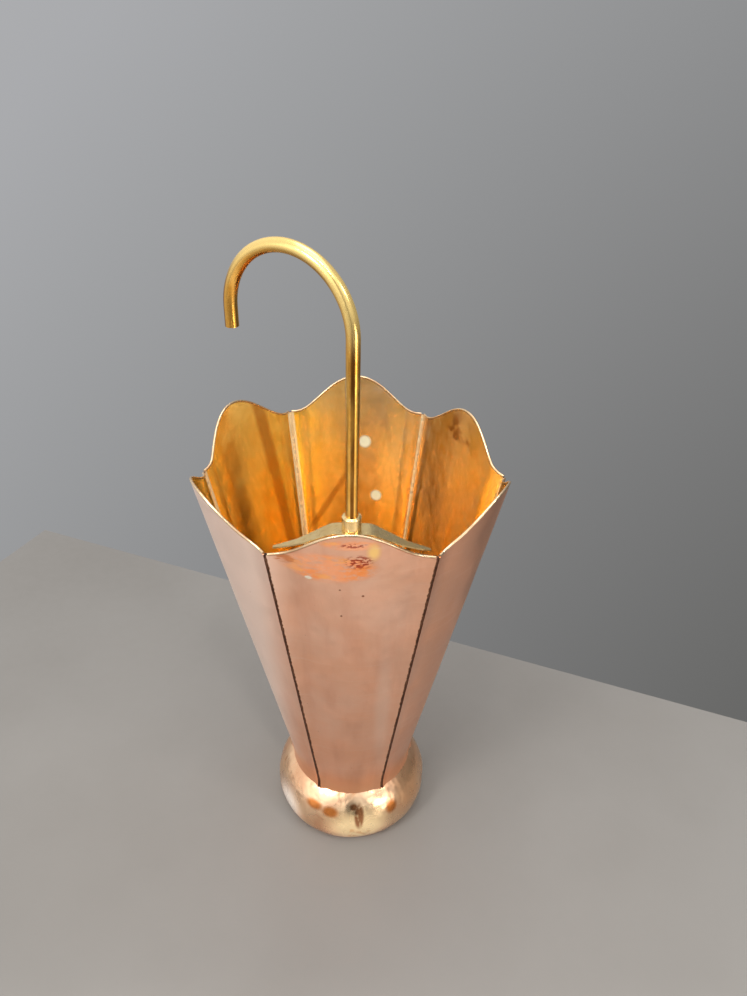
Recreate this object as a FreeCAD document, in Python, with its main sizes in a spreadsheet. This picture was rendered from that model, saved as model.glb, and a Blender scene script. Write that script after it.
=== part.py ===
"""Umbrella stand shaped like an umbrella standing on its tip.

Six copper panels make a tapered vessel with a scalloped rim, soldered along six standing seams. The vessel
stands on a spun copper foot. A brass crook handle rises from an arched brass strap behind the front panel's rim.

Lengths are millimetres. The origin is on the vessel's axis, on the floor. +Z is up and -Y is the front.
"""

import FreeCAD, Part, Sketcher
import math
import os

from FreeCAD import Matrix, Placement, Vector

# ---- driving dimensions -------------------------------------------------------------------------------------

SIZES = (
    # vessel
    ("rim_radius", 130.0),  # wall radius at the valleys of the rim
    ("neck_radius", 62.5),  # wall radius at the lower ends of the panels
    ("wall_bottom", 66.0),  # height of the panels' lower ends
    ("valley_height", 431.0),  # height of the rim's valleys, at the seams
    ("scallop_rise", 33.0),  # how far each panel's rim rises above the valleys
    ("sheet_thick", 1.2),
    ("skirt_height", 20.0),  # the last stretch of wall, which turns outwards over the foot
    ("skirt_out", 3.0),
    # standing seams
    ("ridge_out", 6.0),  # how far a seam stands out of the wall, at the rim
    ("ridge_width", 17.0),  # from the seam to where the panel is smooth again, at the rim
    ("seam_gap", 2.2),  # solder between two panels
    ("seam_depth", 2.6),
    ("seam_recess", 0.4),
    # the hand-beaten panels are not all alike: how far each bows beyond the circle at the rim
    ("bow_front_right", 5.0),
    ("bow_back_right", -13.0),
    ("bow_back", -3.0),
    ("bow_back_left", 1.0),
    ("bow_front_left", 10.0),
    # rim wire
    ("wire_radius", 1.1),
    ("wire_gap", 0.05),
    # foot
    ("foot_floor_radius", 74.0),
    ("foot_wide_radius", 83.5),
    ("foot_wide_height", 24.0),
    ("shoulder_radius", 64.0),
    ("shoulder_height", 64.0),
    ("foot_thick", 1.2),
    ("foot_lip", 7.0),
    ("neck_height", 20.0),  # how far the foot's neck reaches up inside the panels
    ("neck_gap", 0.15),
    ("neck_start", 0.5),  # from the panels' lower ends to where the neck turns upright
    # base plate
    ("plate_thick", 1.5),
    ("plate_drop", 6.0),  # from the neck's upper edge to the plate's underside
    # strap
    ("strap_width", 15.0),
    ("strap_thick", 1.6),
    ("strap_crown", 30.0),  # length of the level stretch under the handle
    ("strap_half_span", 62.0),
    ("strap_lift", 1.0),  # top of the strap above the copper rim
    ("strap_end_rise", 3.0),  # underside of the strap's ends above the valleys
    ("strap_gap", 0.8),
    ("strap_bend", 12.0),
    ("strap_waist", 42.0),  # half of the span over which the strap's inner edge is nearly straight
    ("strap_waist_draw", 1.6),  # how far that edge has turned towards the back there
    ("strap_end_width", 2.5),
    # handle
    ("rod_radius", 5.0),
    ("rod_wall", 1.0),
    ("rod_straight", 150.5),
    ("crook_radius", 52.0),
    ("crook_tip", 14.5),
    ("crook_azimuth", 147.0),  # degrees from +X
    ("collar_radius", 7.5),
    ("collar_height", 13.0),
    ("collar_chamfer", 1.4),
    ("slip_gap", 0.05),
    # handle fixing
    ("plug_length", 18.0),
    ("thread_radius", 2.5),
    ("thread_reach", 11.0),
    ("thread_spare", 2.0),  # the tapped hole is this much deeper than the screw reaches
    ("screw_head_radius", 4.7),
    ("screw_head_height", 3.2),
    ("screw_slot", 1.2),
    ("screw_slot_depth", 1.5),
    ("screw_chamfer", 0.6),
    ("hole_radius", 2.75),
    ("washer_radius", 6.2),
    ("washer_thick", 1.0),
)

PANELS = (
    # name, azimuth of its middle in degrees, the dimension that gives its bow (the front panel has none)
    ("panel_front", -90.0, None),
    ("panel_front_right", -30.0, "bow_front_right"),
    ("panel_back_right", 30.0, "bow_back_right"),
    ("panel_back", 90.0, "bow_back"),
    ("panel_back_left", 150.0, "bow_back_left"),
    ("panel_front_left", -150.0, "bow_front_left"),
)
PANEL_COUNT = len(PANELS)
HALF_PANEL = math.pi / PANEL_COUNT

doc = FreeCAD.newDocument("UmbrellaStand")
sheet = doc.addObject("Spreadsheet::Sheet", "Sizes")
for row, (alias, number) in enumerate(SIZES, start=1):
    sheet.set(f"A{row}", alias)
    sheet.set(f"B{row}", str(number))
    sheet.setAlias(f"B{row}", alias)
doc.recompute()


class Dim:
    """A length worked out from the sheet: its number now, and the expression that keeps it bound."""

    def __init__(self, number, text):
        self.number = float(number)
        self.text = text

    def __add__(self, other):
        other = dim(other)
        return Dim(self.number + other.number, f"({self.text} + {other.text})")

    def __sub__(self, other):
        other = dim(other)
        return Dim(self.number - other.number, f"({self.text} - {other.text})")

    def __mul__(self, other):
        other = dim(other)
        return Dim(self.number * other.number, f"({self.text} * {other.text})")

    def __truediv__(self, other):
        other = dim(other)
        return Dim(self.number / other.number, f"({self.text} / {other.text})")

    def __neg__(self):
        return Dim(-self.number, f"(0 - {self.text})")


def dim(source):
    """A Dim from an alias of the sheet, a plain number, or a Dim."""
    if isinstance(source, Dim):
        return source
    if isinstance(source, str):
        return Dim(sheet.get(source), f"Sizes.{source}")
    return Dim(source, repr(float(source)))


def root(value):
    return Dim(math.sqrt(value.number), f"sqrt({value.text})")


# ---- places that several pieces share -----------------------------------------------------------------------

taper = (dim("rim_radius") - "neck_radius") / (dim("valley_height") - "wall_bottom")
peak_height = dim("valley_height") + "scallop_rise"
peak_radius = dim("rim_radius") + taper * "scallop_rise"
strap_outer = peak_radius - "sheet_thick" - "strap_gap"
strap_inner = strap_outer - "strap_width"
handle_y = -(strap_outer - dim("strap_width") / 2)
strap_top = peak_height + "strap_lift"
strap_under = strap_top - "strap_thick"


def wall_at(height):
    """Radius of the wall's outside at a height above the skirt, as a Dim."""
    return dim("neck_radius") + taper * (dim(height) - "wall_bottom")


# ---- helpers ------------------------------------------------------------------------------------------------

def new_body(label):
    return doc.addObject("PartDesign::Body", label)


def new_sketch(body, name, role):
    """An empty sketch on one of the body's own origin planes, found by its role, such as XZ_Plane."""
    sketch = body.newObject("Sketcher::SketchObject", name)
    plane = next(item for item in body.Origin.OriginFeatures if item.Role == role)
    sketch.AttachmentSupport = [(plane, "")]
    sketch.MapMode = "FlatFace"
    return sketch


def pin_point(sketch, edge, end, point):
    """Fixes one end of an edge at a point given as two Dims, with the sheet's expressions."""
    for kind, value in (("DistanceX", point[0]), ("DistanceY", point[1])):
        index = sketch.addConstraint(Sketcher.Constraint(kind, -1, 1, edge, end, value.number))
        sketch.setExpression(f"Constraints[{index}]", value.text)


def draw_outline(sketch, points, arcs=None, closed=True):
    """Draws lines and arcs through points. arcs gives an edge's radius and the side its centre is on.

    The side is +1 when the centre is on the left of the way from the edge's first point to its second.
    """
    arcs = arcs or {}
    points = [(dim(x), dim(y)) for x, y in points]
    count = len(points) if closed else len(points) - 1
    ends = []
    for i in range(count):
        a = Vector(points[i][0].number, points[i][1].number, 0)
        far = points[(i + 1) % len(points)]
        b = Vector(far[0].number, far[1].number, 0)
        if i in arcs:
            radius, side = arcs[i]
            left = Vector(-(b - a).y, (b - a).x, 0).normalize()
            reach = math.sqrt(max(radius.number ** 2 - (b - a).Length ** 2 / 4, 0.0))
            centre = (a + b) / 2 + left * (side * reach)
            first, last = (a, b) if side > 0 else (b, a)
            turn = [math.atan2(point.y - centre.y, point.x - centre.x) for point in (first, last)]
            circle = Part.Circle(centre, Vector(0, 0, 1), radius.number)
            edge = sketch.addGeometry(Part.ArcOfCircle(circle, turn[0], turn[1]), False)
            ends.append((edge, 1, 2) if side > 0 else (edge, 2, 1))
            index = sketch.addConstraint(Sketcher.Constraint("Radius", edge, radius.number))
            sketch.setExpression(f"Constraints[{index}]", radius.text)
        else:
            edge = sketch.addGeometry(Part.LineSegment(a, b), False)
            ends.append((edge, 1, 2))
    for i, (edge, first, _last) in enumerate(ends):
        if i or closed:
            before, _first, last = ends[i - 1]
            sketch.addConstraint(Sketcher.Constraint("Coincident", before, last, edge, first))
        pin_point(sketch, edge, first, points[i])
    if not closed:
        edge, _first, last = ends[-1]
        pin_point(sketch, edge, last, points[-1])


def draw_circle(sketch, radius, centre=(0, 0)):
    x, y = dim(centre[0]), dim(centre[1])
    edge = sketch.addGeometry(Part.Circle(Vector(x.number, y.number, 0), Vector(0, 0, 1), radius.number), False)
    index = sketch.addConstraint(Sketcher.Constraint("Radius", edge, radius.number))
    sketch.setExpression(f"Constraints[{index}]", radius.text)
    pin_point(sketch, edge, 3, (x, y))


def revolve(body, name, sketch, kind="PartDesign::Revolution"):
    """Turns a sketch on the XZ plane once round the body's own upright axis."""
    feature = body.newObject(kind, name)
    feature.Profile = sketch
    feature.ReferenceAxis = (sketch, ["V_Axis"])
    feature.Angle = 360.0
    return feature


def spun_body(label, points, arcs=None):
    """A body turned from one outline of radius and height."""
    body = new_body(label)
    sketch = new_sketch(body, label + "_outline", "XZ_Plane")
    draw_outline(sketch, points, arcs)
    revolve(body, label + "_turned", sketch)
    return body


def cut_checked(body, feature):
    """Makes sure that a cutting feature took material away, and turns it round if it didn't."""
    doc.recompute()
    before = feature.BaseFeature.Shape.Volume
    if feature.Shape.Volume > before - 1e-3:
        feature.Reversed = not feature.Reversed
        doc.recompute()
    if feature.Shape.Volume > before - 1e-3:
        raise RuntimeError(f"{feature.Label} cuts nothing from {body.Label}")


def place(body, x=None, y=None, z=None):
    """Binds a body's place to the sheet."""
    for axis, value in (("x", x), ("y", y), ("z", z)):
        if value is not None:
            body.setExpression(f"Placement.Base.{axis}", value.text)


# ---- panels -------------------------------------------------------------------------------------------------

ACROSS = 60  # steps across a panel
UPWARD = 18  # steps from the foot to the rim, closer together in the skirt
UPWARD_CROWDING = 1.6
VALLEY_SHARPNESS = 1.06  # above 1 the rim's valleys are narrower than its crests
WIRE_STEP = 2  # every second step across a panel carries a circle of the rim wire
SLOPE_STEP = 1e-3  # small step across a panel for measuring the rim's slope


def wall_radius(height):
    """Radius of the smooth wall, with the skirt that turns outwards over the foot."""
    skirt = max(0.0, 1 - (height - dim("wall_bottom").number) / dim("skirt_height").number)
    return wall_at(height).number + dim("skirt_out").number * skirt ** 2


def rim_height(across):
    """Height of the copper edge: a cosine from the valley at each seam to the panel's middle."""
    wave = 0.5 + 0.5 * math.cos(math.pi * abs(across) ** VALLEY_SHARPNESS)
    return dim("valley_height").number + dim("scallop_rise").number * wave


def surface_radius(across, height, bow):
    """Outer radius of a panel, where across runs from -1 at one seam to +1 at the other."""
    wall = wall_radius(height)
    width = dim("ridge_width").number / (dim("rim_radius").number * HALF_PANEL)
    edge = max(0.0, 1 - (1 - abs(across)) / width)
    ridge = dim("ridge_out").number * wall / dim("rim_radius").number * edge ** 2
    low = dim("wall_bottom").number
    up = max(0.0, (height - low) / (dim("valley_height").number - low))
    return wall + ridge + bow * up * math.cos(math.pi * across / 2)


def surface_point(middle, across, height, bow, inset):
    """A point of a panel, inset from its outer surface, where +1 and -1 are half a seam from the seam's plane."""
    edge_radius = surface_radius(1.0, height, bow) - inset
    reach = HALF_PANEL - math.asin(dim("seam_gap").number / 2 / edge_radius)
    radius = surface_radius(across, height, bow) - inset
    angle = middle + across * reach
    return Vector(radius * math.cos(angle), radius * math.sin(angle), height)


def panel_surface(middle, bow, inset):
    low = dim("wall_bottom").number
    rows = []
    for i in range(ACROSS + 1):
        across = -1 + 2 * i / ACROSS
        top = rim_height(across)
        row = []
        for j in range(UPWARD + 1):
            height = low + (top - low) * (j / UPWARD) ** UPWARD_CROWDING
            row.append(surface_point(middle, across, height, bow, inset))
        rows.append(row)
    surface = Part.BSplineSurface()
    surface.interpolate(rows)
    return surface


def edges_round(surface):
    """The four border curves of a surface, as edges."""
    u0, u1, v0, v1 = surface.bounds()
    return [surface.uIso(u0).toShape(), surface.uIso(u1).toShape(),
            surface.vIso(v0).toShape(), surface.vIso(v1).toShape()]


def panel_solid(middle, bow):
    """A closed sheet between an outer and an inner surface."""
    outer = panel_surface(middle, bow, 0.0)
    inner = panel_surface(middle, bow, dim("sheet_thick").number)
    faces = [outer.toShape(), inner.toShape()]
    for near, far in zip(edges_round(outer), edges_round(inner)):
        faces.append(Part.makeRuledSurface(near, far))
    shell = Part.makeShell(faces)
    shell.sewShape()
    solid = Part.makeSolid(shell)
    if solid.Volume < 0:
        solid.reverse()
    return solid


def wire_path(middle, bow):
    """Centre line of the wire along the top edge of one panel, whose ends stop short of the solder."""
    radius = dim("wire_radius").number
    inset = dim("sheet_thick").number / 2
    end_tilt = 2 * dim("ridge_out").number / dim("ridge_width").number
    end = 1 - radius * end_tilt / (dim("rim_radius").number * HALF_PANEL)
    points = []
    for i in range(ACROSS + 1):
        across = end * (-1 + 2 * i / ACROSS)
        here = surface_point(middle, across, rim_height(across), bow, inset)
        inward = across - SLOPE_STEP if across > 0 else across + SLOPE_STEP
        beside = surface_point(middle, inward, rim_height(inward), bow, inset)
        slope = (beside.z - here.z) / math.hypot(beside.x - here.x, beside.y - here.y)
        lift = (radius + dim("wire_gap").number) * math.sqrt(1 + slope ** 2)
        points.append(here + Vector(0, 0, lift))
    return points


def wire_solid(middle, bow):
    """A length of round wire along the top edge of one panel, drawn through a row of circles."""
    points = wire_path(middle, bow)
    rings = []
    for i in range(0, ACROSS + 1, WIRE_STEP):
        along = (points[min(i + 1, ACROSS)] - points[max(i - 1, 0)]).normalize()
        outward = Vector(points[i].x, points[i].y, 0)
        outward = (outward - along * outward.dot(along)).normalize()
        across = along.cross(outward)
        ring = Part.makeCircle(dim("wire_radius").number)
        ring.Placement = Placement(Matrix(outward.x, across.x, along.x, points[i].x,
                                          outward.y, across.y, along.y, points[i].y,
                                          outward.z, across.z, along.z, points[i].z))
        rings.append(Part.Wire([ring]))
    return Part.makeLoft(rings, True, True)


def add_feature(label, shape):
    feature = doc.addObject("Part::Feature", label)
    feature.Shape = shape
    feature.Placement = Placement()
    return feature


def bow_of(alias):
    return dim(alias).number if alias else 0.0


def build_panels():
    return [add_feature(label, panel_solid(math.radians(azimuth), bow_of(alias)))
            for label, azimuth, alias in PANELS]


def build_rim_wire():
    lengths = [wire_solid(math.radians(azimuth), bow_of(alias)) for _label, azimuth, alias in PANELS]
    return add_feature("rim_wire", Part.makeCompound(lengths))


def build_seam_solder():
    """Six thin strips of solder that fill the standing seams and close the gaps in the rim wire."""
    body = new_body("seam_solder")
    sketch = new_sketch(body, "seam_outline", "XZ_Plane")
    low = dim("wall_bottom")
    crest = dim("valley_height") + dim("wire_radius") * 2
    heights = (low, low + dim("skirt_height") / 2, low + "skirt_height", crest)
    turned_out = (1.0, 0.25, 0.0, 0.0)
    outer = []
    for height, share in zip(heights, turned_out):
        wall = wall_at(height) + dim("skirt_out") * share
        ridge = dim("ridge_out") * wall / "rim_radius"
        outer.append((wall + ridge - "seam_recess", height))
    inner = [(radius - "seam_depth", height) for radius, height in reversed(outer)]
    draw_outline(sketch, outer + inner)
    strip = body.newObject("PartDesign::Pad", "seam_strip")
    strip.Profile = sketch
    strip.SideType = "Symmetric"
    strip.setExpression("Length", "Sizes.seam_gap")
    doc.recompute()
    round_axis = next(item for item in body.Origin.OriginFeatures if item.Role == "Z_Axis")
    seams = body.newObject("PartDesign::PolarPattern", "seams")
    seams.Originals = [strip]
    seams.Axis = (round_axis, [""])
    seams.Angle = 360.0
    seams.Occurrences = PANEL_COUNT
    body.Tip = seams
    return body


# ---- foot ---------------------------------------------------------------------------------------------------

def tangent_radius(run, rise):
    """Radius of an arc that starts upright and moves inwards by run over a height of rise."""
    return (run * run + rise * rise) / (run * 2)


def neck_at(height):
    """Outer radius of the foot's neck, which lies inside the panels."""
    return wall_at(height) - "sheet_thick" - "neck_gap"


neck_low = dim("wall_bottom") + "neck_start"
neck_top = dim("wall_bottom") + "neck_height"


def build_foot():
    """Spun copper: a lip on the floor, a belly, a shoulder and a neck, all one sheet thick."""
    sheet_wall = dim("foot_thick")
    wide, wide_height = dim("foot_wide_radius"), dim("foot_wide_height")
    low_radius = tangent_radius(wide - "foot_floor_radius", wide_height)
    high_radius = tangent_radius(wide - "shoulder_radius", dim("shoulder_height") - wide_height)
    low_centre, high_centre = wide - low_radius, wide - high_radius
    above_lip = wide_height - sheet_wall
    inner_low = low_centre + root((low_radius - sheet_wall) * (low_radius - sheet_wall) - above_lip * above_lip)
    keep = dim(1.0) - sheet_wall / high_radius
    inner_shoulder = (high_centre + (dim("shoulder_radius") - high_centre) * keep,
                      wide_height + (dim("shoulder_height") - wide_height) * keep)
    points = [
        (dim("foot_floor_radius") - "foot_lip", 0.0),
        ("foot_floor_radius", 0.0),
        (wide, wide_height),
        ("shoulder_radius", "shoulder_height"),
        (neck_at(neck_low), neck_low),
        (neck_at(neck_top), neck_top),
        (neck_at(neck_top) - sheet_wall, neck_top),
        (neck_at(neck_low) - sheet_wall, neck_low - dim("foot_thick") / 2),
        inner_shoulder,
        (wide - sheet_wall, wide_height),
        (inner_low, sheet_wall),
        (dim("foot_floor_radius") - "foot_lip", sheet_wall),
    ]
    arcs = {1: (low_radius, 1), 2: (high_radius, 1),
            8: (high_radius - sheet_wall, -1), 9: (low_radius - sheet_wall, -1)}
    return spun_body("foot_ring", points, arcs)


def build_base_plate():
    """The vessel's floor, a disc let into the foot's neck."""
    under = neck_top - "plate_drop"
    upper = under + "plate_thick"
    points = [(0.0, under), (neck_at(under) - "foot_thick" - "slip_gap", under),
              (neck_at(upper) - "foot_thick" - "slip_gap", upper), (0.0, upper)]
    return spun_body("base_plate", points)


# ---- strap and handle ---------------------------------------------------------------------------------------

STRAP_OVERRUN = 30.0  # how far the tools that trim the strap run past it


def build_strap():
    """An arched strip, wide in the middle and narrow at its ends, with the handle's hole in its crown."""
    body = new_body("strap")
    sketch = new_sketch(body, "strap_outline", "XZ_Plane")
    crown = dim("strap_crown") / 2
    end_under = dim("valley_height") + "strap_end_rise"
    end_top = end_under + "strap_thick"
    span = dim("strap_half_span")
    draw_outline(sketch, [
        (-span, end_under), (-crown, strap_under), (crown, strap_under), (span, end_under),
        (span, end_top), (crown, strap_top), (-crown, strap_top), (-span, end_top)])
    arch = body.newObject("PartDesign::Pad", "strap_arch")
    arch.Profile = sketch
    reach = strap_outer + STRAP_OVERRUN
    arch.setExpression("Length", reach.text)
    doc.recompute()
    if arch.Shape.BoundBox.YMax > 1.0:
        arch.Reversed = True
        doc.recompute()
    bends = [f"Edge{i + 1}" for i, edge in enumerate(arch.Shape.Edges)
             if abs(abs(edge.CenterOfMass.x) - crown.number) < 1e-3 and edge.Length > strap_outer.number]
    rounded = body.newObject("PartDesign::Fillet", "strap_bends")
    rounded.Base = (arch, bends)
    rounded.setExpression("Radius", "Sizes.strap_bend")
    doc.recompute()

    hollow = new_sketch(body, "strap_inner_edge", "XY_Plane")
    waist, waist_y = dim("strap_waist"), -strap_inner + "strap_waist_draw"
    end_radius = wall_at(end_top) - "sheet_thick" - "strap_gap"
    end_y = -root(end_radius * end_radius - span * span) + "strap_end_width"
    side = span + STRAP_OVERRUN
    draw_outline(hollow, [
        (-side, 0.0), (-side, end_y), (-span, end_y), (-waist, waist_y), (-crown, -strap_inner),
        (crown, -strap_inner), (waist, waist_y), (span, end_y), (side, end_y), (side, 0.0)])
    trim = body.newObject("PartDesign::Pocket", "strap_inner_trim")
    trim.Profile = hollow
    trim.Type = "ThroughAll"
    trim.Reversed = True
    cut_checked(body, trim)

    outside = new_sketch(body, "strap_outer_edge", "XZ_Plane")
    low = dim("valley_height") - STRAP_OVERRUN
    high = strap_top + STRAP_OVERRUN
    inset = dim("sheet_thick") + "strap_gap"
    far = reach * 2
    draw_outline(outside, [(wall_at(low) - inset, low), (far, low), (far, high), (wall_at(high) - inset, high)])
    edge_cut = revolve(body, "strap_outer_trim", outside, "PartDesign::Groove")
    cut_checked(body, edge_cut)

    hole_sketch = new_sketch(body, "strap_hole_outline", "XY_Plane")
    draw_circle(hole_sketch, dim("hole_radius"), (0.0, handle_y))
    hole = body.newObject("PartDesign::Pocket", "strap_hole")
    hole.Profile = hole_sketch
    hole.Type = "ThroughAll"
    hole.Reversed = True
    cut_checked(body, hole)
    return body


def build_handle():
    """Brass tube: up from the strap, half round, and a short way down to its open end."""
    body = new_body("handle_tube")
    section = new_sketch(body, "handle_section", "XY_Plane")
    draw_circle(section, dim("rod_radius"))
    draw_circle(section, dim("rod_radius") - "rod_wall")
    path = new_sketch(body, "handle_path", "XZ_Plane")
    rise, bend = dim("rod_straight"), dim("crook_radius")
    points = [(0.0, 0.0), (0.0, rise), (bend, rise + bend), (bend * 2, rise), (bend * 2, rise - "crook_tip")]
    draw_outline(path, points, {1: (bend, -1), 2: (bend, -1)}, closed=False)
    doc.recompute()
    tube = body.newObject("PartDesign::AdditivePipe", "handle_bent")
    tube.Profile = section
    tube.Spine = (path, [f"Edge{i + 1}" for i in range(len(path.Shape.Edges))])
    tube.Mode = "Frenet"
    place(body, y=handle_y, z=strap_top)
    body.setExpression("Placement.Rotation.Angle", "Sizes.crook_azimuth")
    return body


def build_collar():
    """Plain brass collar round the foot of the tube."""
    inner, outer = dim("rod_radius") + "slip_gap", dim("collar_radius")
    top, slant = dim("collar_height"), dim("collar_chamfer")
    points = [(inner, 0.0), (outer, 0.0), (outer, top - slant), (outer - slant, top), (inner, top)]
    body = spun_body("collar", points)
    place(body, y=handle_y, z=strap_top)
    return body


def build_plug():
    """Tapped brass plug soldered in the foot of the tube."""
    outer, inner = dim("rod_radius") - "rod_wall" - "slip_gap", dim("thread_radius") + "slip_gap"
    length, depth = dim("plug_length"), dim("thread_reach") + "thread_spare"
    points = [(inner, 0.0), (outer, 0.0), (outer, length), (0.0, length), (0.0, depth), (inner, depth)]
    body = spun_body("handle_plug", points)
    place(body, y=handle_y, z=strap_top)
    return body


SLOT_OVERRUN = 3.0  # length of the tool that cuts the slot, in head radii


def build_screw():
    """Cheese-head screw that comes up through washer and strap into the plug."""
    head, height, shank = dim("screw_head_radius"), dim("screw_head_height"), dim("thread_radius")
    tip = dim("washer_thick") + "strap_thick" + "thread_reach"
    slant = dim("screw_chamfer")
    points = [(0.0, -height), (head - slant, -height), (head, -height + slant), (head, 0.0), (shank, 0.0),
              (shank, tip - slant), (shank - slant, tip), (0.0, tip)]
    body = spun_body("fixing_screw", points)
    slot_sketch = new_sketch(body, "slot_outline", "XZ_Plane")
    half = dim("screw_slot") / 2
    mouth = -height - "screw_slot_depth"
    bottom = -height + "screw_slot_depth"
    draw_outline(slot_sketch, [(-half, mouth), (half, mouth), (half, bottom), (-half, bottom)])
    slot = body.newObject("PartDesign::Pocket", "screw_slot")
    slot.Profile = slot_sketch
    slot.SideType = "Symmetric"
    slot.setExpression("Length", (head * SLOT_OVERRUN).text)
    cut_checked(body, slot)
    place(body, y=handle_y, z=strap_under - "washer_thick")
    return body


def build_washer():
    """Flat washer under the strap."""
    outside = doc.addObject("Part::Cylinder", "washer_outside")
    outside.setExpression("Radius", "Sizes.washer_radius")
    outside.setExpression("Height", "Sizes.washer_thick")
    bore = doc.addObject("Part::Cylinder", "washer_bore")
    bore.setExpression("Radius", "Sizes.hole_radius")
    bore.setExpression("Height", "Sizes.washer_thick")
    washer = doc.addObject("Part::Cut", "screw_washer")
    washer.Base = outside
    washer.Tool = bore
    place(washer, y=handle_y, z=strap_under - "washer_thick")
    return washer


# ---- build, check and write ---------------------------------------------------------------------------------

def main():
    pieces = build_panels()
    pieces += [build_rim_wire(), build_seam_solder(), build_foot(), build_base_plate(), build_strap(),
               build_handle(), build_collar(), build_plug(), build_screw(), build_washer()]
    doc.recompute()
    for item in doc.Objects:
        if "Invalid" in item.State or "Error" in item.State:
            raise RuntimeError(f"{item.Label} failed: {item.State}")
    os.makedirs("parts", exist_ok=True)
    for piece in pieces:
        shape = piece.Shape
        if shape.isNull() or not shape.isValid() or shape.Volume <= 0:
            raise RuntimeError(f"{piece.Label} has no valid shape")
        box = shape.BoundBox
        print(f"{piece.Label}: {len(shape.Solids)} solid(s), {shape.Volume / 1000:.2f} cm3,"
              f" z {box.ZMin:.1f} to {box.ZMax:.1f}")
    for piece in pieces:
        piece.Shape.exportStep(f"parts/{piece.Label}.step")


main()
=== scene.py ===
# %% [markdown]
# # A copper umbrella stand shaped like an umbrella standing on its tip
#
# Six tapered copper panels are soldered into a vessel with a scalloped rim. It stands on a spun copper
# foot, and a brass crook handle rises from a strap behind the front panel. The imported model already
# fixes every size, so this lesson forms the visible sheets again with their hand-made unevenness, and
# gives each metal its finish.

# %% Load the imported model
import math

import bpy
from mathutils import Matrix, Vector, noise


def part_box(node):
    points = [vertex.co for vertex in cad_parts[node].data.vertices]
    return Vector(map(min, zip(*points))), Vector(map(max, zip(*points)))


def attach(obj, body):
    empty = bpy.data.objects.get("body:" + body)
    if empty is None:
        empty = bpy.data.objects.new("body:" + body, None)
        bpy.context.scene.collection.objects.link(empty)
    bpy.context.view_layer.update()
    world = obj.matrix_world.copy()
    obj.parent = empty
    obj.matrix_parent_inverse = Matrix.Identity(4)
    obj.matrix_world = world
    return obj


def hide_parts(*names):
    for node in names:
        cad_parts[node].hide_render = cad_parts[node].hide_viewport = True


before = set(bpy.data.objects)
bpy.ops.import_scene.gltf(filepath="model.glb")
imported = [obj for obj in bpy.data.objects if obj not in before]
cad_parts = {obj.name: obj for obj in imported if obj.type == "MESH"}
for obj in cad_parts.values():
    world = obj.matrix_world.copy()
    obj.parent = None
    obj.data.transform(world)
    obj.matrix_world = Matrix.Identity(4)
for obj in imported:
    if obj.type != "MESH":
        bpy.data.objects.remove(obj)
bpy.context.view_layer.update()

# %% [markdown]
# ## The sizes that every piece shares
#
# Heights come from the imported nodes' own boxes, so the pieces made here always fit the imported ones. The
# radii of the wall, and how far each hand-beaten panel bows, are the sizes the panels were cut to.

# %% Shared sizes
wall_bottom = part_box("panel_front")[0].z
peak_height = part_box("panel_front")[1].z
seam_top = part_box("seam_solder")[1].z
scallop_rise = 0.033
valley_height = peak_height - scallop_rise
rim_radius = 0.130
neck_radius = 0.0625
sheet_thick = 0.0012
skirt_height = 0.020
skirt_out = 0.003
ridge_out = 0.006
ridge_width = 0.017
seam_gap = 0.0022
valley_sharpness = 1.06
panels = (
    ("panel_front", -90, 0.0),
    ("panel_front_right", -30, 0.005),
    ("panel_back_right", 30, -0.013),
    ("panel_back", 90, -0.003),
    ("panel_back_left", 150, 0.001),
    ("panel_front_left", -150, 0.010),
)
half_panel = math.pi / len(panels)
print(f"rim from {valley_height:.3f} m at the seams to {peak_height:.3f} m between them")


# %% [markdown]
# ## Where a point of a panel lies
#
# A panel is part of a cone that turns outwards at both side edges, where it meets its neighbour in a
# standing seam, and bows between them. Two numbers name any point of it: how far across it is, from -1
# at one seam to 1 at the other, and its height. One function for this serves the sheets and the solder.

# %% The wall's shape
def wall_radius(height):
    skirt = max(0.0, 1 - (height - wall_bottom) / skirt_height)
    taper = (rim_radius - neck_radius) / (valley_height - wall_bottom)
    return neck_radius + taper * (height - wall_bottom) + skirt_out * skirt ** 2


def rim_height(across):
    wave = 0.5 + 0.5 * math.cos(math.pi * abs(across) ** valley_sharpness)
    return valley_height + scallop_rise * wave


def panel_radius(across, height, bow):
    wall = wall_radius(height)
    edge = max(0.0, 1 - (1 - abs(across)) * rim_radius * half_panel / ridge_width)
    up = max(0.0, (height - wall_bottom) / (valley_height - wall_bottom))
    return wall + ridge_out * wall / rim_radius * edge ** 2 + bow * up * math.cos(math.pi * across / 2)


def panel_point(middle, across, height, bow, outwards=0.0):
    reach = half_panel - math.asin(seam_gap / 2 / panel_radius(1.0, height, bow))
    angle = middle + across * reach
    radius = panel_radius(across, height, bow) + outwards
    return Vector((radius * math.cos(angle), radius * math.sin(angle), height))


print(f"the wall's radius is {wall_radius(wall_bottom):.4f} m at the foot")
print(f"and {wall_radius(valley_height):.4f} m at the rim")


# %% [markdown]
# ## Helpers for modelling by operators
#
# An operator acts on all that is selected, and loading leaves the imported nodes selected. So each piece
# starts by clearing the selection. When it is finished, it rides on the vessel's one body, stands for its
# imported node, and takes its finishes.

# %% Modelling helpers
def start():
    if bpy.context.object and bpy.context.object.mode != "OBJECT":
        bpy.ops.object.mode_set(mode="OBJECT")
    bpy.ops.object.select_all(action="DESELECT")


def only(piece):
    start()
    piece.select_set(True)
    bpy.context.view_layer.objects.active = piece


def modify(piece, kind, **settings):
    """Adds a modifier, sets it and applies it."""
    only(piece)
    modifier = piece.modifiers.new(kind.lower(), kind)
    for name, value in settings.items():
        setattr(modifier, name, value)
    bpy.ops.object.modifier_apply(modifier=modifier.name)


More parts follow.
